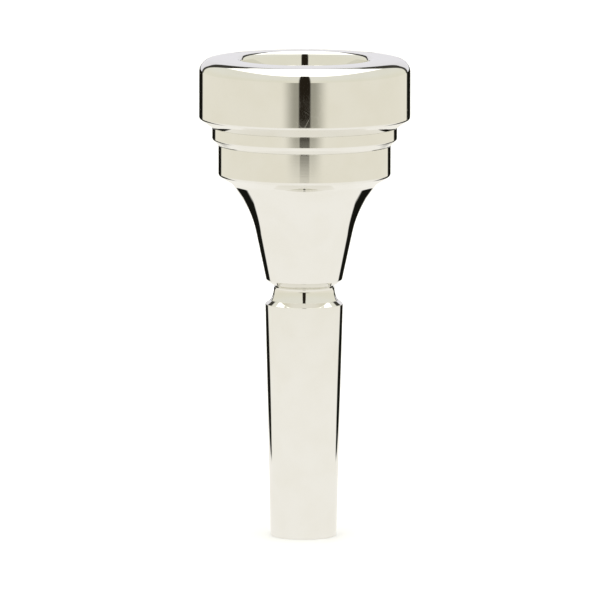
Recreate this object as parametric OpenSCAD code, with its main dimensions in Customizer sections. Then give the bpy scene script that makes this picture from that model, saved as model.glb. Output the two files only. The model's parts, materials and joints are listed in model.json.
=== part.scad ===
// Modular mouthpiece for a tenor horn, standing on the tip of its shank.
// A screw rim, a spacer ring, a cup, a screw-in backbore and a slip-on shank sleeve, with two O-rings.
// Millimetres. The origin is the middle of the shank's tip and +Z runs up the bore to the rim.
// Threads are plain cylinders at their major diameter.

/* [Rim] */
// Height of the whole mouthpiece
total_h = 69.6; // [69:0.1:72]
// Outer diameter of the rim
rim_d = 30.5; // [30:0.1:32]
// Diameter of the cup's mouth, at the rim's bite
mouth_d = 18.6; // [18.2:0.1:19]
// Rounding of the rim's upper outer edge
rim_edge_r = 1.9; // [1.7:0.1:2.2]
// Fall of the crest towards that edge
crest_fall = 0.25; // [0.15:0.05:0.3]
// Rounding of the bite, where the flat crest turns down into the cup
bite_r = 0.8; // [0.5:0.1:1]
// Rise of the rim's bevelled underside
rim_bevel_h = 1.3; // [1.1:0.05:1.5]

/* [Rings] */
// Height of the seat between the rim and the spacer ring
rim_seat_z = 59.65; // [59.4:0.05:59.9]
// Outer diameter of the spacer ring
ring_d = 26.7; // [26:0.1:27.4]
// Height of the spacer ring
ring_h = 2.6; // [2.4:0.1:2.8]
// Rise of the spacer ring's bevelled underside
ring_bevel_h = 0.9; // [0.7:0.05:1]
// Outer diameter of the cup's band
band_d = 24.9; // [24.5:0.1:25.5]
// Height of the band's straight side
band_h = 4.4; // [4.2:0.05:4.6]
// Rise of the band's bevelled underside
band_bevel_h = 1.2; // [1:0.05:1.3]

/* [Cone] */
// Diameter of the cone where it leaves the band
cone_top_d = 20.9; // [20.7:0.1:21.2]
// Half-angle of the flare under the band
flare_angle = 34; // [32:1:36]
// Half-angle of the straight cone
cone_angle = 12; // [11:0.5:13]
// Radius of the hollow curve that joins the flare to the cone
flare_r = 15; // [12:1:18]
// Diameter of the cone's lower end
cone_end_d = 11; // [10.8:0.1:11.2]

/* [Neck and shank] */
// Height of the seat between the cup and the backbore
neck_seat_z = 36.6; // [36.4:0.1:37]
// Diameter at the top of the neck
neck_top_d = 8.8; // [8.7:0.1:9]
// Diameter at the bottom of the neck
neck_foot_d = 9.7; // [9.5:0.1:10]
// Length of the shank's taper
shank_h = 33.9; // [33.5:0.1:34]
// Height of the sleeve's bevelled lip, above the taper
lip_h = 0.6; // [0.5:0.05:0.65]
// Outer diameter of the shank's tip
tip_d = 9.55; // [9.5:0.05:9.8]
// Length over which the shank's diameter grows by one
taper = 20; // [18:1:22]
// Outer diameter of the backbore's tube inside the sleeve
tube_d = 8.5; // [8.4:0.05:8.6]
// How far the tube stops short of the sleeve's tip
tube_recess = 0.3; // [0.2:0.1:1]

/* [Bore] */
// Diameter of the throat, the narrowest part of the bore
throat_d = 5; // [4.8:0.05:5.2]
// Length of the throat
throat_h = 2.5; // [2:0.1:3]
// Diameter of the bore at the tip
tip_bore_d = 7.4; // [7:0.1:7.5]
// Diameter of the cup where its upper curve meets its straight funnel
funnel_d = 16; // [15.6:0.1:16.4]
// Height of that place
funnel_z = 60; // [59:0.5:61]

/* [Threads and seals] */
// Major diameter of the rim's thread
rim_thread_d = 22; // [21.8:0.1:22.2]
// Pitch of the rim's thread
rim_pitch = 1; // [0.75:0.25:1]
// Major diameter of the backbore's thread
neck_thread_d = 7.5; // [7.4:0.05:7.6]
// Pitch of the backbore's thread
neck_pitch = 0.75; // [0.5:0.25:0.75]
// Radial clearance of the threads and of the sleeve
play = 0.05; // [0.02:0.01:0.08]
// Cord diameter of the rim's O-ring
rim_seal_w = 0.8; // [0.7:0.05:0.85]
// Cord diameter of the backbore's O-ring
neck_seal_w = 0.66; // [0.5:0.02:0.7]

/* [Hidden] */
$fn = 180;
// Angle that one facet of a rounded corner covers
arc_step = 6;
// Clearance of an O-ring in its groove
seal_gap = 0.02;
// Small edge break of machined corners
break_w = 0.3;

band_top_z = rim_seat_z - ring_h;
// The spigot ends five turns above the ring, with room for the thread's run-out
spigot_top_z = rim_seat_z + 5 * rim_pitch + 1.55;
// The backbore's spigot holds six turns above its seal
neck_spigot_top_z = neck_seat_z + 6 * neck_pitch + 0.9;
neck_bore_r = neck_thread_d / 2 + play;
rim_bore_r = rim_thread_d / 2 + play;

// Axis of the rim's O-ring, in the middle of the spigot's top
rim_seal_r = 10;
rim_seal_z = spigot_top_z + rim_seal_w / 2 + seal_gap;
// Axis of the backbore's O-ring, at the root of its spigot
neck_relief_r = neck_bore_r + play;
neck_seal_r = neck_relief_r - neck_seal_w / 2 - seal_gap;
neck_seal_z = neck_seat_z + neck_seal_w / 2 + 0.1;
neck_relief_h = neck_seal_w + 0.3;

// The neck narrows to a waist, then widens down to its foot, which stands in the sleeve's lip
neck_waist_z = neck_seat_z - 0.75;
neck_waist_r = neck_top_d / 2 - 0.04;
neck_step_z = shank_h + lip_h + 0.45;
neck_step_r = neck_foot_d / 2 - 0.23;

// Radius of the shank sleeve at a height
function shank_r(z) = tip_d / 2 + z / (2 * taper);

// Where the flare's line and the cone's line meet
cone_end_z = neck_seat_z + 0.85;
flare_top_z = band_top_z - band_h - band_bevel_h;
meet_z = (cone_top_d / 2 - flare_top_z * tan(flare_angle) - cone_end_d / 2 + cone_end_z * tan(cone_angle))
    / (tan(cone_angle) - tan(flare_angle));
meet_r = cone_end_d / 2 + (meet_z - cone_end_z) * tan(cone_angle);

// Bore radius of the straight funnel, which ends in the throat
funnel_foot_z = neck_seat_z + 2.8;
function funnel_r(z) = throat_d / 2 + (funnel_d - throat_d) / 2 * (z - funnel_foot_z) / (funnel_z - funnel_foot_z);
// Bore radius of the backbore below the throat
throat_foot_z = funnel_foot_z - throat_h;
function backbore_r(z) = throat_d / 2 + (tip_bore_d - throat_d) / 2 * (throat_foot_z - z) / (throat_foot_z - tube_recess);
// Bore radius at the two places where one piece's bore passes into the next
mouth_seam_r = 9.05;
neck_seam_r = funnel_r(neck_spigot_top_z);

function unit(v) = v / norm(v);
// A corner of an outline as the points of an arc that touches both of its sides; corner = [r, z, rounding]
function corner(before, at, after) = let(
        p = [at[0], at[1]],
        a = unit([before[0], before[1]] - p),
        b = unit([after[0], after[1]] - p),
        half = acos(a * b) / 2,
        centre = p + unit(a + b) * at[2] / sin(half),
        start = p + a * at[2] / tan(half) - centre,
        turn = (180 - 2 * half) * sign(start[0] * (b - a)[1] - start[1] * (b - a)[0]),
        steps = ceil(abs(turn) / arc_step))
    [for (i = [0:steps]) let(t = turn * i / steps)
        centre + [start[0] * cos(t) - start[1] * sin(t), start[0] * sin(t) + start[1] * cos(t)]];

// An outline whose corners carry their rounding as a third number
function rounded(outline) = let(n = len(outline))
    [for (i = [0:n - 1])
        each len(outline[i]) < 3 ? [outline[i]]
            : corner(outline[(i + n - 1) % n], outline[i], outline[(i + 1) % n])];

module turned(outline) rotate_extrude() polygon(rounded(outline));

module o_ring(r, z, width) rotate_extrude() translate([r, z]) circle(d = width, $fn = 32);

module rim() {
    ceiling_z = spigot_top_z + play;
    groove_top_z = rim_seal_z + rim_seal_w / 2 + seal_gap;
    groove_half = rim_seal_w / 2 + 2 * seal_gap;
    color("gainsboro") turned([
        [rim_bore_r + break_w, rim_seat_z],
        [ring_d / 2, rim_seat_z],
        [rim_d / 2, rim_seat_z + rim_bevel_h, 0.4],
        [rim_d / 2, total_h - crest_fall, rim_edge_r],
        [12.4, total_h, 5],
        [mouth_d / 2 + 0.12, total_h, bite_r],
        [mouth_d / 2 - 0.15, total_h - 2],
        [mouth_seam_r, ceiling_z],
        [rim_seal_r - groove_half, ceiling_z],
        [rim_seal_r - groove_half, groove_top_z],
        [rim_seal_r + groove_half, groove_top_z],
        [rim_seal_r + groove_half, ceiling_z],
        [rim_bore_r, ceiling_z],
        [rim_bore_r, rim_seat_z + break_w]]);
}

module rim_seal() color("dimgray") o_ring(rim_seal_r, rim_seal_z, rim_seal_w);

module spacer_ring()
    color("gainsboro") turned([
        [rim_bore_r, band_top_z],
        [band_d / 2, band_top_z],
        [ring_d / 2, band_top_z + ring_bevel_h, 0.3],
        [ring_d / 2, rim_seat_z],
        [rim_bore_r, rim_seat_z]]);

module cup() {
    spigot_r = rim_thread_d / 2;
    band_foot_z = band_top_z - band_h;
    color("gainsboro") turned([
        // thread spigot and band
        [spigot_r - break_w, spigot_top_z],
        [spigot_r, spigot_top_z - break_w],
        [spigot_r, band_top_z],
        [band_d / 2, band_top_z],
        [band_d / 2, band_foot_z, 0.5],
        // flare and cone
        [cone_top_d / 2, flare_top_z, 0.3],
        [meet_r, meet_z, flare_r],
        [cone_end_d / 2, cone_end_z, 0.3],
        [neck_top_d / 2 + 0.3, neck_seat_z + 0.2, 0.8],
        [neck_top_d / 2 - 0.25, neck_seat_z],
        // socket for the backbore
        [neck_relief_r, neck_seat_z],
        [neck_relief_r, neck_seat_z + neck_relief_h],
        [neck_bore_r, neck_seat_z + neck_relief_h],
        [neck_bore_r, neck_spigot_top_z + play],
        // funnel and mouth of the cup
        [neck_seam_r, neck_spigot_top_z + play],
        [funnel_d / 2, funnel_z, 22],
        [mouth_seam_r, spigot_top_z]]);
}

module backbore() {
    spigot_r = neck_thread_d / 2;
    groove_r = neck_seal_r - neck_seal_w / 2 - seal_gap;
    color("gainsboro") turned([
        // thread spigot with the seal's groove
        [spigot_r - break_w, neck_spigot_top_z],
        [spigot_r, neck_spigot_top_z - break_w],
        [spigot_r, neck_seat_z + neck_relief_h],
        [groove_r, neck_seat_z + neck_relief_h],
        [groove_r, neck_seat_z],
        // neck, and the tube that carries the sleeve
        [neck_top_d / 2 - 0.25, neck_seat_z],
        [neck_top_d / 2, neck_seat_z - 0.2],
        [neck_waist_r, neck_waist_z, 2],
        [neck_step_r, neck_step_z, 0.6],
        [neck_foot_d / 2, shank_h + lip_h],
        [neck_foot_d / 2, shank_h],
        [tube_d / 2, shank_h],
        [tube_d / 2, tube_recess],
        // bore
        [tip_bore_d / 2, tube_recess],
        [throat_d / 2, throat_foot_z],
        [throat_d / 2, funnel_foot_z],
        [neck_seam_r, neck_spigot_top_z]]);
}

module backbore_seal() color("dimgray") o_ring(neck_seal_r, neck_seal_z, neck_seal_w);

module shank_sleeve() {
    bore_r = tube_d / 2 + play;
    lip_r = neck_foot_d / 2 + play;
    color("gainsboro") turned([
        [bore_r, 0],
        [shank_r(0), 0, 0.2],
        [shank_r(shank_h), shank_h, 0.1],
        [lip_r, shank_h + lip_h],
        [lip_r, shank_h],
        [bore_r, shank_h]]);
}

rim();
rim_seal();
spacer_ring();
cup();
backbore();
backbore_seal();
shank_sleeve();
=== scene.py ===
"""Looks for the modular tenor horn mouthpiece: silver-plated brass, standing on the tip of its shank.

Every visible piece is turned here as a lathe mesh around +Z. Places and overall sizes come from the CAD
frame; the finer outline, the true screw threads and the edge radii are added in millimetres.
"""
import json
import math

import bpy
import numpy as np
from mathutils import Euler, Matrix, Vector


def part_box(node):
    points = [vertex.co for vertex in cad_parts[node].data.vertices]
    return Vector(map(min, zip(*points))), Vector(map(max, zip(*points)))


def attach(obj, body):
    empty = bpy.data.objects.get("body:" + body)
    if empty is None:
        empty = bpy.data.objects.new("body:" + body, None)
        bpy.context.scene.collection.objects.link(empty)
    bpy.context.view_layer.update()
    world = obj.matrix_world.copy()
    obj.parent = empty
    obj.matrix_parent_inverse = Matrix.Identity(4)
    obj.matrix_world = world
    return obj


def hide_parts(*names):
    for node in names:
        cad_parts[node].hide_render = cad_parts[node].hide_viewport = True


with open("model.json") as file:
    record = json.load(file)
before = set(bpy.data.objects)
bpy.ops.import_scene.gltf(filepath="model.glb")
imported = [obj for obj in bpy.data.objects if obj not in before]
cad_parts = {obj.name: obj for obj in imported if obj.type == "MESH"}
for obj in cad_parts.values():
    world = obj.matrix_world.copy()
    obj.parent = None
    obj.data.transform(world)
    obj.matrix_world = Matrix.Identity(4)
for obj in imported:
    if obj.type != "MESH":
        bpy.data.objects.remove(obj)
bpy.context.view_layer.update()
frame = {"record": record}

MM = 0.001
COLUMNS = 256           # mesh columns round the axis
EDGE = 0.05             # mm, radius of a machined edge that has no other rounding
STRIP = 0.15            # mm, width of the worn or stained strip beside a corner
SMALL_RADIUS = 0.6      # mm, a rounding below this is an edge
SHARP_TURN = 0.35       # radians, an edge turns more than this
FINE_STEP = 2.5         # degrees of arc between rows on a large curve
EDGE_STEP = 15.0        # degrees of arc between rows on a small edge
FILL = 0.96             # share of a side that the roundings at its two ends may take up
SAME_WALL = 1e-6        # mm, two radii closer than this are the same wall


# ---------------------------------------------------------------- the CAD frame, in millimetres

class Span:
    """Radius and height range of a CAD node, rounded to 0.01 mm."""

    def __init__(self, node):
        low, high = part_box(node)
        self.r = round(high.x / MM, 2)
        self.foot = round(low.z / MM, 2)
        self.top = round(high.z / MM, 2)
        self.middle = (self.foot + self.top) / 2


RIM = Span("rim")
RING = Span("spacer_ring")
CUP = Span("cup")
BACKBORE = Span("backbore")
SLEEVE = Span("shank_sleeve")
RIM_SEAL = Span("rim_seal")
NECK_SEAL = Span("backbore_seal")
LIP_H = 0.6             # height of the sleeve's bevelled lip
SHANK_TOP = SLEEVE.top - LIP_H


def pitch_of(joint):
    """Rise per turn, in mm, of the screw whose hinge follows its slide."""
    for coupling in frame["record"]["behaviour"]["couplings"]:
        if coupling["joint"] == joint:
            return 2 * math.pi / coupling["ratio"] / MM
    raise ValueError(joint)


# ---------------------------------------------------------------- lathe meshes

def unit(vector):
    return vector / np.linalg.norm(vector)


def smooth(share):
    """Smooth step from 0 to 1."""
    return share * share * (3 - 2 * share)


def rounded(outline, edge=EDGE):
    """Rows (r, z, normal r, normal z, wear, grime) of a closed outline with all its corners rounded.

    outline holds (r, z) or (r, z, radius) corners, in either direction round the solid.
    """
    corners = [tuple(c) + (edge,) * (3 - len(c)) for c in outline]
    points = [np.array(c[:2], float) for c in corners]
    count = len(points)
    area = sum(points[i][0] * points[(i + 1) % count][1] - points[(i + 1) % count][0] * points[i][1]
               for i in range(count))
    if area < 0:
        corners.reverse()
        points.reverse()
    arcs = []
    for i in range(count):
        into = unit(points[i] - points[i - 1])
        out = unit(points[(i + 1) % count] - points[i])
        turn = math.atan2(into[0] * out[1] - into[1] * out[0], into @ out)
        arcs.append([into, out, turn, corners[i][2] * math.tan(abs(turn) / 2)])
    shrink = [1.0] * count
    for i in range(count):
        following = (i + 1) % count
        length = np.linalg.norm(points[following] - points[i])
        fit = min(1.0, FILL * length / (arcs[i][3] + arcs[following][3]))
        shrink[i] = min(shrink[i], fit)
        shrink[following] = min(shrink[following], fit)
    rows = []
    for i, (into, out, turn, reach) in enumerate(arcs):
        at = points[i]
        following = (i + 1) % count
        reach *= shrink[i]
        radius = reach / math.tan(abs(turn) / 2)
        small = radius < SMALL_RADIUS
        steps = max(2, math.ceil(abs(math.degrees(turn)) / (EDGE_STEP if small else FINE_STEP)))
        normal_in = np.array([into[1], -into[0]])
        normal_out = np.array([out[1], -out[0]])
        side = 1 if turn > 0 else -1
        centre = at - into * reach - normal_in * radius * side
        sharp = small and abs(turn) > SHARP_TURN
        wear = 1.0 if sharp and turn > 0 else 0.0
        grime = 1.0 if sharp and turn < 0 else 0.0
        room_in = np.linalg.norm(at - points[i - 1]) - arcs[i - 1][3] * shrink[i - 1]
        room_out = np.linalg.norm(points[following] - at) - arcs[following][3] * shrink[following]
        strip_in = min(reach + STRIP, (reach + room_in) / 2)
        strip_out = min(reach + STRIP, (reach + room_out) / 2)
        if sharp and strip_in > reach:
            rows.append((*(at - into * strip_in), *normal_in, 0.0, 0.0))
        for k in range(steps + 1):
            angle = turn * k / steps
            normal = np.array([normal_in[0] * math.cos(angle) - normal_in[1] * math.sin(angle),
                               normal_in[0] * math.sin(angle) + normal_in[1] * math.cos(angle)])
            rows.append((*(centre + normal * radius * side), *normal, wear, grime))
        if sharp and strip_out > reach:
            rows.append((*(at + out * strip_out), *normal_out, 0.0, 0.0))
    return rows


THREAD_ROWS = 20        # mesh rows per turn of a thread
THREAD_CLEARANCE = 0.06  # mm, between the crests of a bolt and the roots of its nut
FLANK_TOP = 1.12        # the ridge's profile before it is cut off at 0 and 1: its height at the crest
FLANK_FALL = 1.24       # and its fall from the crest to the root
RUN_OUT = 0.7           # turns over which a thread fades at each end
TINY = 1e-4             # mm and radians, step for the slope of a threaded wall


class Thread:
    """A right-hand screw thread on a cylinder. It rises from root_r by depth, and runs out at both ends."""

    def __init__(self, root_r, depth, pitch, low, high, inside=False):
        self.depth = depth
        self.pitch = pitch
        self.low = low
        self.high = high
        self.inside = inside
        self.wall_r = root_r + depth + THREAD_CLEARANCE if inside else root_r

    def radius(self, angle, z):
        """Radius of the threaded wall. Bolt and nut share one ridge, so they stay in mesh as they turn."""
        phase = (z / self.pitch - angle / (2 * math.pi)) % 1.0
        ridge = smooth(np.clip(FLANK_TOP - abs(2 * phase - 1) * FLANK_FALL, 0.0, 1.0))
        fade = smooth(np.clip(min(z - self.low, self.high - z) / (RUN_OUT * self.pitch), 0.0, 1.0))
        if self.inside:
            return self.wall_r - self.depth * (1 - ridge) * fade
        return self.wall_r + self.depth * ridge * fade


def turned(name, outline, body, material, replaces, threads=(), edge=EDGE):
    """A lathe mesh that stands for a CAD node and rides on its body."""
    angle = np.arange(COLUMNS) * 2 * math.pi / COLUMNS
    radii, heights, normals, wear, grime, screwed = [], [], [], [], [], []

    def add_row(r, z, normal, worn, stained, on_thread):
        radii.append(np.broadcast_to(r, COLUMNS))
        heights.append(z)
        normals.append(normal)
        wear.append(worn)
        grime.append(stained)
        screwed.append(on_thread)

    def add_thread(thread, start, stop):
        """Rows of a threaded wall, with normals from the thread's own slopes."""
        total = max(2, round(abs(stop - start) / thread.pitch * THREAD_ROWS))
        side = -1.0 if thread.inside else 1.0
        for k in range(1, total):
            z = start + (stop - start) * k / total
            r = thread.radius(angle, z)
            slope_z = (thread.radius(angle, z + TINY) - thread.radius(angle, z - TINY)) / (2 * TINY)
            slope_a = (thread.radius(angle + TINY, z) - thread.radius(angle - TINY, z)) / (2 * TINY) / r
            raw = np.stack([np.cos(angle) + slope_a * np.sin(angle), np.sin(angle) - slope_a * np.cos(angle),
                            -slope_z], 1)
            normal = side * raw / np.linalg.norm(raw, axis=1)[:, None]
            add_row(r, z, normal, 0.0, 0.0, 1.0)

    rows = rounded(outline, edge)
    for i, row in enumerate(rows):
        r, z, normal_r, normal_z, worn, stained = row
        normal = np.stack([normal_r * np.cos(angle), normal_r * np.sin(angle),
                           np.broadcast_to(normal_z, COLUMNS)], 1)
        add_row(r, z, normal, worn, stained, 0.0)
        following = rows[(i + 1) % len(rows)]
        for thread in threads:
            same_wall = max(abs(row[0] - thread.wall_r), abs(following[0] - thread.wall_r)) < SAME_WALL
            low, high = sorted((row[1], following[1]))
            if same_wall and low <= thread.low and high >= thread.high:
                ends = [thread.low, thread.high]
                if row[1] > following[1]:
                    ends.reverse()
                add_thread(thread, *ends)

    r = np.array(radii)
    z = np.array(heights)[:, None] * np.ones(COLUMNS)
    vertices = np.stack([r * np.cos(angle), r * np.sin(angle), z], 2).reshape(-1, 3) * MM
    total = len(radii)
    faces = [(i * COLUMNS + j, i * COLUMNS + (j + 1) % COLUMNS,
              (i + 1) % total * COLUMNS + (j + 1) % COLUMNS, (i + 1) % total * COLUMNS + j)
             for i in range(total) for j in range(COLUMNS)]
    mesh = bpy.data.meshes.new(name)
    mesh.from_pydata(vertices.tolist(), [], faces)
    for label, values in (("wear", wear), ("grime", grime), ("screwed", screwed)):
        layer = mesh.attributes.new(label, "FLOAT", "POINT")
        layer.data.foreach_set("value", np.repeat(np.array(values, np.float32), COLUMNS))
    mesh.polygons.foreach_set("use_smooth", [True] * len(faces))
    mesh.normals_split_custom_set_from_vertices(np.concatenate(normals).tolist())
    mesh.materials.append(material)
    piece = bpy.data.objects.new(name, mesh)
    bpy.context.scene.collection.objects.link(piece)
    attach(piece, body)
    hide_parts(replaces)
    return piece


# ---------------------------------------------------------------- materials

class Nodes:
    """Short calls for building a node tree."""

    def __init__(self, tree):
        self.tree = tree

    def new(self, kind, **settings):
        node = self.tree.nodes.new(kind)
        for key, value in settings.items():
            setattr(node, key, value)
        return node

    def put(self, target, value):
        if isinstance(value, bpy.types.NodeSocket):
            self.tree.links.new(value, target)
        else:
            target.default_value = value

    def math(self, operation, first, second=0.0, third=0.0):
        node = self.new("ShaderNodeMath", operation=operation)
        for socket, value in zip(node.inputs, (first, second, third)):
            self.put(socket, value)
        return node.outputs[0]

    def mix(self, factor, first, second):
        node = self.new("ShaderNodeMix", data_type="RGBA")
        self.put(node.inputs["Factor"], factor)
        self.put(node.inputs["A"], first)
        self.put(node.inputs["B"], second)
        return node.outputs["Result"]

    def hypot(self, first, second):
        squares = (self.math("MULTIPLY", value, value) for value in (first, second))
        return self.math("SQRT", self.math("ADD", *squares))

    def between(self, value, low, high, to_low=0.0, to_high=1.0):
        """Smooth step: to_low where value is below low, to_high where it is above high."""
        node = self.new("ShaderNodeMapRange", interpolation_type="SMOOTHSTEP")
        for socket, number in zip(node.inputs, (value, low, high, to_low, to_high)):
            self.put(socket, number)
        return node.outputs[0]

    def noise(self, vector, scale, detail=3.0, w=None):
        node = self.new("ShaderNodeTexNoise", noise_dimensions="3D" if w is None else "4D")
        self.put(node.inputs["Vector"], vector)
        self.put(node.inputs["Scale"], scale)
        self.put(node.inputs["Detail"], detail)
        if w is not None:
            self.put(node.inputs["W"], w)
        return node.outputs[0]

    def bump(self, height, strength, depth):
        node = self.new("ShaderNodeBump")
        node.inputs["Strength"].default_value = strength
        node.inputs["Distance"].default_value = depth
        self.put(node.inputs["Height"], height)
        return node.outputs[0]

    def attribute(self, name):
        return self.new("ShaderNodeAttribute", attribute_name=name).outputs["Fac"]


def new_material(name):
    material = bpy.data.materials.new(name)
    material.use_nodes = True
    nodes = Nodes(material.node_tree)
    return material, nodes, material.node_tree.nodes["Principled BSDF"]


def around_axis(nodes):
    """Millimetre coordinates of a turned surface: place, direction round the axis, radius and height."""
    place = nodes.new("ShaderNodeVectorMath", operation="SCALE")
    nodes.put(place.inputs[0], nodes.new("ShaderNodeTexCoord").outputs["Object"])
    nodes.put(place.inputs["Scale"], 1 / MM)
    parts = nodes.new("ShaderNodeSeparateXYZ")
    nodes.put(parts.inputs[0], place.outputs[0])
    x, y, z = parts.outputs
    radius = nodes.hypot(x, y)
    return place.outputs[0], nodes.math("DIVIDE", x, radius), nodes.math("DIVIDE", y, radius), radius, z


CLEAN_PLATE = (0.873, 0.866, 0.828, 1)
DULL_PLATE = (0.858, 0.848, 0.800, 1)
TARNISH = (0.42, 0.36, 0.25, 1)
BRASS = (0.83, 0.64, 0.33, 1)
BUFF_AROUND = 1.6       # noise scale of the buffing lines round the axis
BUFF_ACROSS = 9.0       # and across them, per mm
POLISH = 0.02           # roughness of the cleanest plate
BUFF_DEPTH = 0.0000012  # m, depth of the buffing lines
RUBBER_DARK = (0.016, 0.016, 0.017, 1)
RUBBER_GREASY = (0.034, 0.033, 0.032, 1)
MOULD_DEPTH = 0.00001   # m, depth of the rubber's moulded grain


def silver_plate():
    """Bright silver plate over turned brass: buffing lines, hair scratches, brass on worn thread crests."""
    material, nodes, shader = new_material("silver_plate")
    place, cosine, sine, radius, z = around_axis(nodes)
    ring = nodes.new("ShaderNodeCombineXYZ")
    nodes.put(ring.inputs[0], nodes.math("MULTIPLY", cosine, BUFF_AROUND))
    nodes.put(ring.inputs[1], nodes.math("MULTIPLY", sine, BUFF_AROUND))
    nodes.put(ring.inputs[2], nodes.math("MULTIPLY", z, BUFF_ACROSS))
    lines = nodes.noise(ring.outputs[0], 1.0, 4.0, w=nodes.math("MULTIPLY", radius, BUFF_ACROSS))
    cloud = nodes.noise(place, 0.22, 3.0)
    grain = nodes.noise(place, 6.0, 2.0)
    scratches = nodes.new("ShaderNodeTexVoronoi", feature="DISTANCE_TO_EDGE")
    nodes.put(scratches.inputs["Vector"], place)
    nodes.put(scratches.inputs["Scale"], 0.35)
    hairline = nodes.between(scratches.outputs["Distance"], 0.0, 0.012, 1.0, 0.0)
    hairline = nodes.math("MULTIPLY", hairline, nodes.between(cloud, 0.52, 0.66))

    wear, grime, screwed = (nodes.attribute(n) for n in ("wear", "grime", "screwed"))
    plate = nodes.mix(nodes.between(cloud, 0.35, 0.7), CLEAN_PLATE, DULL_PLATE)
    stain = nodes.math("MULTIPLY", grime, nodes.between(cloud, 0.3, 0.6, 0.03, 0.12))
    plate = nodes.mix(stain, plate, TARNISH)
    bare = nodes.math("MULTIPLY", screwed, nodes.between(grain, 0.45, 0.62, 0.1, 0.75))
    plate = nodes.mix(bare, plate, BRASS)
    nodes.put(shader.inputs["Base Color"], plate)
    shader.inputs["Metallic"].default_value = 1.0

    rough = nodes.math("ADD", POLISH, nodes.between(cloud, 0.4, 0.7, 0.0, 0.03))
    for layer, added in ((lines, 0.02), (wear, 0.04), (grime, 0.05), (screwed, 0.16), (hairline, 0.08)):
        rough = nodes.math("ADD", rough, nodes.math("MULTIPLY", layer, added))
    nodes.put(shader.inputs["Roughness"], rough)

    relief = nodes.math("ADD", nodes.math("MULTIPLY", lines, 0.55), nodes.math("MULTIPLY", grain, 0.15))
    relief = nodes.math("SUBTRACT", relief, nodes.math("MULTIPLY", hairline, 0.3))
    nodes.put(shader.inputs["Normal"], nodes.bump(relief, 0.35, BUFF_DEPTH))
    return material


def seal_rubber():
    """Satin black nitrile rubber with a fine moulded grain and a trace of grease."""
    material, nodes, shader = new_material("seal_rubber")
    place = around_axis(nodes)[0]
    grain = nodes.noise(place, 14.0, 4.0)
    cloud = nodes.noise(place, 0.7, 2.0)
    nodes.put(shader.inputs["Base Color"],
              nodes.mix(nodes.between(cloud, 0.35, 0.65), RUBBER_DARK, RUBBER_GREASY))
    nodes.put(shader.inputs["Roughness"], nodes.between(cloud, 0.3, 0.7, 0.32, 0.55))
    nodes.put(shader.inputs["Normal"], nodes.bump(grain, 0.4, MOULD_DEPTH))
    return material


SILVER = silver_plate()
RUBBER = seal_rubber()


# ---------------------------------------------------------------- sizes of the pieces, in mm

# the joint of rim, spacer ring and cup
SPIGOT_R = 11.0          # pilot of the cup's spigot, inside the spacer ring
BORE_R = 11.05           # bore of the spacer ring and mouth of the rim's bore
RIM_PITCH = pitch_of("rim_turn")
RIM_THREAD_DEPTH = 0.58 * RIM_PITCH
RIM_ROOT_R = SPIGOT_R - 0.02 - RIM_THREAD_DEPTH
CEILING = CUP.top + 0.05  # the rim's ceiling, just above the spigot
MOUTH_SEAM_R = 9.05      # bore where the rim's wall passes into the cup's
RING_EDGE = 0.04         # edge radius where two pieces meet on a visible seam

# the joint of cup and backbore
NECK_SPIGOT_R = 3.75     # pilot of the backbore's spigot, in the cup's socket
NECK_PITCH = pitch_of("backbore_turn")
NECK_THREAD_DEPTH = 0.55 * NECK_PITCH
NECK_ROOT_R = NECK_SPIGOT_R - 0.02 - NECK_THREAD_DEPTH
NECK_THREAD_FOOT = CUP.foot + 1.25
NECK_SEAM_R = 3.19       # bore where the cup's funnel passes into the backbore
NECK_RELIEF_TOP = CUP.foot + 0.98  # top of the room for the backbore's O-ring

# the O-rings, as cord width and radius of the cord's middle
SEAL_GAP = 0.04          # between an O-ring and its groove's walls
RIM_SEAL_W = RIM_SEAL.top - RIM_SEAL.foot
RIM_SEAL_R = RIM_SEAL.r - RIM_SEAL_W / 2
NECK_SEAL_W = NECK_SEAL.top - NECK_SEAL.foot
NECK_SEAL_R = NECK_SEAL.r - NECK_SEAL_W / 2
SEAL_SIDES = 36          # corners round the cord
FLASH_H = 0.05           # height of the mould's flash line, as a share of the cord's radius
FLASH_W = 0.12           # and its half-width, as the sine of an angle round the cord

# the rim
RIM_BEVEL_H = 1.3        # rise of its bevelled underside
RIM_EDGE_R = 1.9         # rounding of its upper outer edge
CREST_FALL = 0.25        # fall of the crest towards that edge
CREST_R = 12.4           # radius at which the crest turns flat
BITE_R = 9.42            # radius of the bite's corner before rounding
BITE_ROUNDING = 0.8
BITE_FOOT_R = 9.15       # radius of the mouth below the bite
BITE_FOOT_DROP = 2.0     # and how far below the crest that is

# the spacer ring and the outside of the cup
RING_BEVEL_H = 0.9       # rise of the ring's bevelled foot
BAND_H = 4.4             # height of the band's straight side
BAND_BEVEL_H = 1.2       # rise of its bevelled foot
CONE_TOP_R = 10.45       # radius at which the flare leaves that bevel
CONE_FOOT_R = 5.5
CONE_FOOT = CUP.foot + 0.85
FLARE_SLOPE = math.tan(math.radians(34))
CONE_SLOPE = math.tan(math.radians(12))
FLARE_R = 15.0           # hollow curve between flare and cone
FLARE_TOP_R = 2.5        # hollow curve between bevel and flare

# the inside of the cup
FUNNEL_R = 8.0           # radius at which its upper curve meets its straight funnel
FUNNEL_Z = 60.0
FUNNEL_ROUNDING = 22.0

# the backbore and the shank sleeve
NECK_TOP_R = 4.4
NECK_WAIST_R = 4.36
NECK_STEP_R = 4.62
TUBE_R = 4.25
TIP_BORE_R = 3.7
THROAT_R = 2.5
THROAT_FOOT = CUP.foot + 0.3
THROAT_TOP = CUP.foot + 2.8
THROAT_ROUNDING = 20.0
SLEEVE_BORE_R = 4.3
SHANK_TAPER = 20         # length over which the shank's diameter grows by one


# ---------------------------------------------------------------- the pieces

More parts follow.
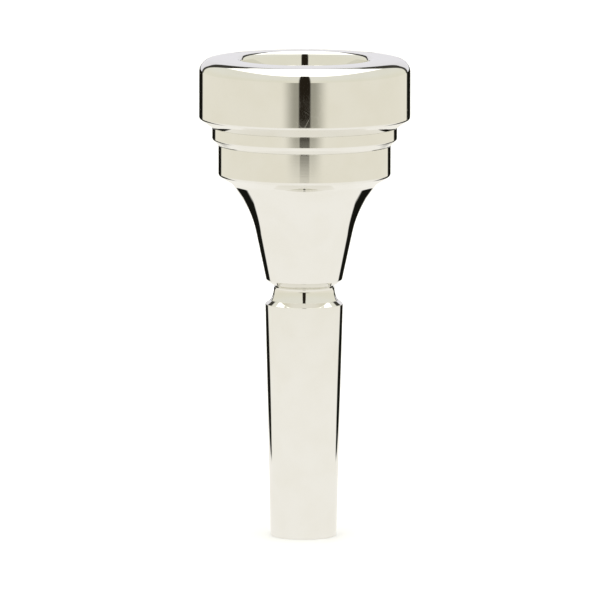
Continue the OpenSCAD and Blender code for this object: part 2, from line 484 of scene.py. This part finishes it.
def make_rim():
    """Screw rim: crest, bite, bevelled foot, and a threaded bore with the O-ring's groove in its ceiling."""
    half = RIM_SEAL_W / 2 + SEAL_GAP
    groove_top = RIM_SEAL.top + SEAL_GAP
    thread = Thread(RIM_ROOT_R, RIM_THREAD_DEPTH, RIM_PITCH, RIM.foot + 0.8, CEILING - 0.5, inside=True)
    return turned("silver_rim", [
        (thread.wall_r + 0.35, RIM.foot),
        (RING.r, RIM.foot, RING_EDGE),
        (RIM.r, RIM.foot + RIM_BEVEL_H, 0.4),
        (RIM.r, RIM.top - CREST_FALL, RIM_EDGE_R),
        (CREST_R, RIM.top, 5.0),
        (BITE_R, RIM.top, BITE_ROUNDING),
        (BITE_FOOT_R, RIM.top - BITE_FOOT_DROP, 3.0),
        (MOUTH_SEAM_R, CEILING),
        (RIM_SEAL_R - half, CEILING),
        (RIM_SEAL_R - half, groove_top, 0.1),
        (RIM_SEAL_R + half, groove_top, 0.1),
        (RIM_SEAL_R + half, CEILING),
        (thread.wall_r, CEILING, 0.1),
        (thread.wall_r, RIM.foot + 0.35),
    ], "rim", SILVER, "rim", [thread])


def make_spacer_ring():
    """Spacer ring with a sharp top edge and a bevelled foot."""
    return turned("silver_spacer_ring", [
        (BORE_R, RING.foot, 0.12),
        (CUP.r, RING.foot, RING_EDGE),
        (RING.r, RING.foot + RING_BEVEL_H, 0.3),
        (RING.r, RING.top, 0.06),
        (BORE_R, RING.top, 0.12),
    ], "cup", SILVER, "spacer_ring")


def make_cup():
    """Cup: threaded spigot, band, flare and cone outside; deep V bowl inside; threaded socket below."""
    thread = Thread(RIM_ROOT_R, RIM_THREAD_DEPTH, RIM_PITCH, RIM.foot + 0.6, CUP.top - 0.4)
    socket_top = BACKBORE.top + 0.05
    socket = Thread(NECK_ROOT_R, NECK_THREAD_DEPTH, NECK_PITCH, NECK_THREAD_FOOT, socket_top - 0.35,
                    inside=True)
    band_foot = RING.foot - BAND_H
    flare_top = band_foot - BAND_BEVEL_H
    # the flare's line and the cone's line cross at this height
    meet = (CONE_TOP_R - flare_top * FLARE_SLOPE - CONE_FOOT_R + CONE_FOOT * CONE_SLOPE) / (
        CONE_SLOPE - FLARE_SLOPE)
    relief_r = NECK_SEAL.r + 0.02
    return turned("silver_cup", [
        (RIM_ROOT_R - 0.15, CUP.top, 0.08),
        (RIM_ROOT_R, CUP.top - 0.1),
        (RIM_ROOT_R, RIM.foot + 0.25, 0.15),
        (SPIGOT_R, RIM.foot + 0.05),
        (SPIGOT_R, RING.foot, 0.08),
        (CUP.r, RING.foot, 0.06),
        (CUP.r, band_foot, 0.5),
        (CONE_TOP_R, flare_top, FLARE_TOP_R),
        (CONE_FOOT_R + (meet - CONE_FOOT) * CONE_SLOPE, meet, FLARE_R),
        (CONE_FOOT_R, CONE_FOOT, 0.3),
        (4.7, CUP.foot + 0.2, 0.8),
        (4.15, CUP.foot, 0.05),
        (relief_r, CUP.foot, 0.06),
        (relief_r, NECK_RELIEF_TOP - 0.02, 0.05),
        (socket.wall_r, NECK_RELIEF_TOP, 0.02),
        (socket.wall_r, socket_top, 0.08),
        (NECK_SEAM_R, socket_top),
        (FUNNEL_R, FUNNEL_Z, FUNNEL_ROUNDING),
        (MOUTH_SEAM_R, CUP.top, 0.04),
    ], "cup", SILVER, "cup", [thread, socket])


def make_backbore():
    """Backbore: threaded spigot with the O-ring's groove, hollow-sided neck, sleeve's tube, and throat."""
    thread = Thread(NECK_ROOT_R, NECK_THREAD_DEPTH, NECK_PITCH, NECK_THREAD_FOOT, BACKBORE.top - 0.4)
    groove_r = NECK_SEAL_R - NECK_SEAL_W / 2 - 0.02
    return turned("silver_backbore", [
        (NECK_ROOT_R - 0.1, BACKBORE.top, 0.04),
        (NECK_ROOT_R, BACKBORE.top - 0.12, 0.04),
        (NECK_ROOT_R, NECK_RELIEF_TOP, 0.04),
        (groove_r, NECK_RELIEF_TOP - 0.06, 0.06),
        (groove_r, CUP.foot, 0.1),
        (4.12, CUP.foot, 0.05),
        (NECK_TOP_R, CUP.foot - 0.2, 0.06),
        (NECK_WAIST_R, CUP.foot - 0.85, 3.4),
        (NECK_STEP_R, SLEEVE.top + 0.45, 0.6),
        (BACKBORE.r, SLEEVE.top + 0.02, 0.04),
        (BACKBORE.r, SHANK_TOP, 0.05),
        (TUBE_R, SHANK_TOP, 0.08),
        (TUBE_R, BACKBORE.foot, 0.1),
        (TIP_BORE_R, BACKBORE.foot, 0.12),
        (THROAT_R, THROAT_FOOT, THROAT_ROUNDING),
        (THROAT_R, THROAT_TOP, THROAT_ROUNDING),
        (NECK_SEAM_R - 0.02, BACKBORE.top, 0.04),
    ], "backbore", SILVER, "backbore", [thread])


def make_shank_sleeve():
    """Shank sleeve: a 1:20 taper outside, a straight bore inside."""
    tip_r = SLEEVE.r - SHANK_TOP / (2 * SHANK_TAPER)
    lip_r = BACKBORE.r + 0.03
    return turned("silver_shank_sleeve", [
        (SLEEVE_BORE_R, SLEEVE.foot, 0.1),
        (tip_r, SLEEVE.foot, 0.2),
        (SLEEVE.r, SHANK_TOP, 0.1),
        (lip_r, SLEEVE.top, 0.03),
        (lip_r, SHANK_TOP, 0.05),
        (SLEEVE_BORE_R, SHANK_TOP, 0.1),
    ], "shank_sleeve", SILVER, "shank_sleeve")


def make_seal(name, node, axis_r, width, middle):
    """O-ring with the faint flash line that its mould leaves at the inner and outer edge."""
    outline = []
    for k in range(SEAL_SIDES):
        turn = 2 * math.pi * k / SEAL_SIDES
        flash = FLASH_H * math.exp(-(math.sin(turn) / FLASH_W) ** 2)
        r = width / 2 * (0.94 + flash)
        outline.append((axis_r + r * math.cos(turn), middle + r * math.sin(turn), width))
    return turned(name, outline, node, RUBBER, node)


make_rim()
make_spacer_ring()
make_cup()
make_backbore()
make_shank_sleeve()
make_seal("rubber_rim_seal", "rim_seal", RIM_SEAL_R, RIM_SEAL_W, RIM_SEAL.middle)
make_seal("rubber_backbore_seal", "backbore_seal", NECK_SEAL_R, NECK_SEAL_W, NECK_SEAL.middle)


# ---------------------------------------------------------------- the studio, in metres and degrees

FLOOR_WHITE = (0.93, 0.93, 0.93, 1)
FLOOR_HALF = 6.0

# what the metal sees below the horizon
GLOW_FRONT = -1.45                      # the sheet ends just behind the camera
GLOW_DEPTH = -0.0002                    # and lies just under the floor
NEAR_SHEET = (0.97, 0.95, 0.905, 1)     # floor close by
FAR_SHEET = (0.86, 0.83, 0.73, 1)       # floor further off
SHEET_FADE = (0.06, 0.42)               # distances over which one passes into the other
SHADE_START = (0.43, 0.56)              # distances at which the slit's shade starts
PENUMBRA = (0.05, 0.05, 0.02, 1)
PENUMBRA_EDGE = (9.0, 27.0)             # azimuth away from straight in front
PENUMBRA_DEPTH = 0.62
BACK_CARD = (0.008, 0.008, 0.006, 1)    # dark card on the floor behind the mouthpiece
CARD_START = (0.066, 0.078)             # distances at which the card starts
CARD_NEAR = (0.10, 52.0)                # distance, and the card's half-angle there
CARD_FAR = (0.40, 32.0)
CORRIDOR = (0.049, 0.054)               # half-width of the light gap through the card's middle

# what it sees above the horizon
WALL_LOW = (0.82, 0.80, 0.69, 1)
WALL_HIGH = (0.83, 0.82, 0.74, 1)
WALL_FADE = (5.0, 30.0)                 # elevations over which one passes into the other
SLIT = (0.018, 0.014, 0.009, 1)         # the gap in the tent that the camera looks through
SLIT_EDGE = (5.2, 7.2)                  # azimuth away from straight in front
SLIT_TOP = (55.0, 57.0)                 # elevation
ROOF = (1.9, 1.9, 1.85, 1)
ROOF_HALF_X = 0.70                      # half-sizes and middle of the roof light, at height 1
ROOF_HALF_Y = 1.27
ROOF_MIDDLE_Y = 0.55
FRAME = (0.05, 0.048, 0.04, 1)          # dark frame round the back window
FRAME_HALF = (0.64, 0.70)               # its half-width, at distance 1 behind
FRAME_TOP = 0.58                        # its height in the middle
FRAME_RISE = 1.35                       # how fast its top rises to the sides
FRAME_LIMIT = 1.1                       # up to this height
WINDOW = (0.83, 0.82, 0.86, 1)
WINDOW_HALF = 0.51                      # half-width and height of the window, at distance 1 behind
WINDOW_TOP = 0.45


def stage_plane(name, half_width, near, far, height, material):
    """A level sheet from y = near to y = far."""
    corners = [(-half_width, near, height), (half_width, near, height), (half_width, far, height),
               (-half_width, far, height)]
    mesh = bpy.data.meshes.new(name)
    mesh.from_pydata(corners, [], [(0, 1, 2, 3)])
    mesh.materials.append(material)
    plane = bpy.data.objects.new(name, mesh)
    bpy.context.scene.collection.objects.link(plane)
    return plane


def make_floor():
    """Plain white floor. Mirror-bright metal sees the sheet below instead."""
    material, nodes, shader = new_material("floor_white")
    shader.inputs["Base Color"].default_value = FLOOR_WHITE
    shader.inputs["Roughness"].default_value = 0.9
    floor = stage_plane("floor", FLOOR_HALF, -FLOOR_HALF, FLOOR_HALF, 0.0, material)
    floor.visible_glossy = False


def split(nodes, vector):
    """x, y, z and the distance from the Z axis."""
    parts = nodes.new("ShaderNodeSeparateXYZ")
    nodes.put(parts.inputs[0], vector)
    x, y, z = parts.outputs
    return x, y, z, nodes.hypot(x, y)


def azimuth(nodes, x, y):
    """Degrees away from straight in front, which is -Y."""
    side = nodes.math("ABSOLUTE", x)
    angle = nodes.math("ARCTAN2", side, nodes.math("MULTIPLY", y, -1.0))
    return nodes.math("MULTIPLY", angle, 180 / math.pi)


def make_floor_glow():
    """What polished metal sees of the set below the horizon: a warm white sheet, its dark front slit, and
    the dark card behind the mouthpiece."""
    material = bpy.data.materials.new("floor_glow")
    material.use_nodes = True
    nodes = Nodes(material.node_tree)
    material.node_tree.nodes.clear()
    x, y, _, distance = split(nodes, nodes.new("ShaderNodeTexCoord").outputs["Object"])
    front = azimuth(nodes, x, y)
    colour = nodes.mix(nodes.between(distance, *SHEET_FADE), NEAR_SHEET, FAR_SHEET)
    far = nodes.between(distance, *SHADE_START)
    penumbra = nodes.math("MULTIPLY", far, nodes.between(front, *PENUMBRA_EDGE, PENUMBRA_DEPTH, 0.0))
    colour = nodes.mix(penumbra, colour, PENUMBRA)
    slit = nodes.math("MULTIPLY", far, nodes.between(front, *SLIT_EDGE, 1.0, 0.0))
    colour = nodes.mix(slit, colour, SLIT)
    behind = nodes.math("SUBTRACT", 180.0, front)
    half_angle = nodes.between(distance, CARD_NEAR[0], CARD_FAR[0], CARD_NEAR[1], CARD_FAR[1])
    card = nodes.between(nodes.math("SUBTRACT", behind, half_angle), -2.0, 2.0, 1.0, 0.0)
    card = nodes.math("MULTIPLY", nodes.between(distance, *CARD_START), card)
    card = nodes.math("MULTIPLY", card, nodes.between(nodes.math("ABSOLUTE", x), *CORRIDOR))
    colour = nodes.mix(card, colour, BACK_CARD)
    glow = nodes.new("ShaderNodeEmission")
    nodes.put(glow.inputs["Color"], colour)
    out = nodes.new("ShaderNodeOutputMaterial")
    nodes.put(out.inputs["Surface"], glow.outputs[0])
    sheet = stage_plane("floor_glow", 4.0, GLOW_FRONT, FLOOR_HALF, GLOW_DEPTH, material)
    sheet.visible_camera = False
    sheet.visible_diffuse = False
    sheet.visible_shadow = False


def make_world():
    """The rest of the tent: cream walls, an oval roof light, a cool back window in its dark frame, and the
    dark front slit."""
    world = bpy.data.worlds.new("tent")
    bpy.context.scene.world = world
    world.use_nodes = True
    nodes = Nodes(world.node_tree)
    shader = world.node_tree.nodes["Background"]
    x, y, z, level = split(nodes, nodes.new("ShaderNodeTexCoord").outputs["Generated"])
    elevation = nodes.math("MULTIPLY", nodes.math("ARCTAN2", z, level), 180 / math.pi)
    back = nodes.math("GREATER_THAN", y, 0.0)
    above = nodes.math("GREATER_THAN", z, 0.0)

    def rounded_edge(first, second, power):
        """1 on the edge of a rounded shape whose half-sizes divided the two coordinates."""
        powers = (nodes.math("POWER", nodes.math("ABSOLUTE", value), power) for value in (first, second))
        return nodes.math("POWER", nodes.math("ADD", *powers), 1 / power)

    colour = nodes.mix(nodes.between(elevation, *WALL_FADE), WALL_LOW, WALL_HIGH)

    across = nodes.math("DIVIDE", nodes.math("DIVIDE", x, z), ROOF_HALF_X)
    along = nodes.math("SUBTRACT", nodes.math("DIVIDE", y, z), ROOF_MIDDLE_Y)
    along = nodes.math("DIVIDE", along, ROOF_HALF_Y)
    roof = nodes.between(rounded_edge(across, along, 3.0), 0.97, 1.03, 1.0, 0.0)
    colour = nodes.mix(nodes.math("MULTIPLY", above, roof), colour, ROOF)

    slant = nodes.math("ABSOLUTE", nodes.math("DIVIDE", x, y))
    rise = nodes.math("DIVIDE", z, y)
    brow = nodes.math("MINIMUM", FRAME_LIMIT, nodes.math("MULTIPLY_ADD", slant, FRAME_RISE, FRAME_TOP))
    under_brow = nodes.between(nodes.math("DIVIDE", rise, brow), 0.96, 1.04, 1.0, 0.0)
    dark = nodes.math("MULTIPLY", nodes.between(slant, *FRAME_HALF, 1.0, 0.0), under_brow)
    colour = nodes.mix(nodes.math("MULTIPLY", back, dark), colour, FRAME)

    arch = rounded_edge(nodes.math("DIVIDE", slant, WINDOW_HALF), nodes.math("DIVIDE", rise, WINDOW_TOP),
                        6.0)
    window = nodes.between(arch, 0.98, 1.02, 1.0, 0.0)
    colour = nodes.mix(nodes.math("MULTIPLY", back, window), colour, WINDOW)

    slit = nodes.math("MULTIPLY", nodes.between(azimuth(nodes, x, y), *SLIT_EDGE, 1.0, 0.0),
                      nodes.between(elevation, *SLIT_TOP, 1.0, 0.0))
    colour = nodes.mix(slit, colour, SLIT)
    nodes.put(shader.inputs["Color"], colour)
    shader.inputs["Strength"].default_value = 1.0


def make_lamp(name, place, target, size, power):
    """Soft square lamp that polished metal doesn't mirror."""
    lamp = bpy.data.lights.new(name, "AREA")
    lamp.size = size
    lamp.energy = power
    holder = bpy.data.objects.new(name, lamp)
    holder.location = place
    holder.rotation_euler = (Vector(target) - Vector(place)).to_track_quat("-Z", "Y").to_euler()
    holder.visible_glossy = False
    bpy.context.scene.collection.objects.link(holder)


LAMP_PLACE = (0.0, -0.2, 1.2)
LAMP_SIZE = 1.0
LAMP_POWER = 4.0        # W

CAMERA_DISTANCE = 1.4
CAMERA_HEIGHT = 0.219
CAMERA_SIDE = -0.0006
AIM_HEIGHT = 0.0344
CAMERA_ROLL = 0.16
LENS = 585.0            # mm, on a film 36 mm wide


def make_camera():
    camera = bpy.data.cameras.new("camera")
    camera.lens = LENS
    camera.sensor_width = 36.0
    camera.clip_start = 0.01
    holder = bpy.data.objects.new("camera", camera)
    place = Vector((CAMERA_SIDE, -CAMERA_DISTANCE, CAMERA_HEIGHT))
    aim = Vector((CAMERA_SIDE, 0, AIM_HEIGHT)) - place
    holder.location = place
    turn = aim.to_track_quat("-Z", "Y").to_matrix() @ Euler((0, 0, math.radians(CAMERA_ROLL))).to_matrix()
    holder.rotation_euler = turn.to_euler()
    bpy.context.scene.collection.objects.link(holder)
    bpy.context.scene.camera = holder


make_camera()
make_floor()
make_floor_glow()
make_world()
make_lamp("roof_lamp", LAMP_PLACE, (0, 0, 0), LAMP_SIZE, LAMP_POWER)
bpy.context.scene.view_settings.view_transform = "Standard"
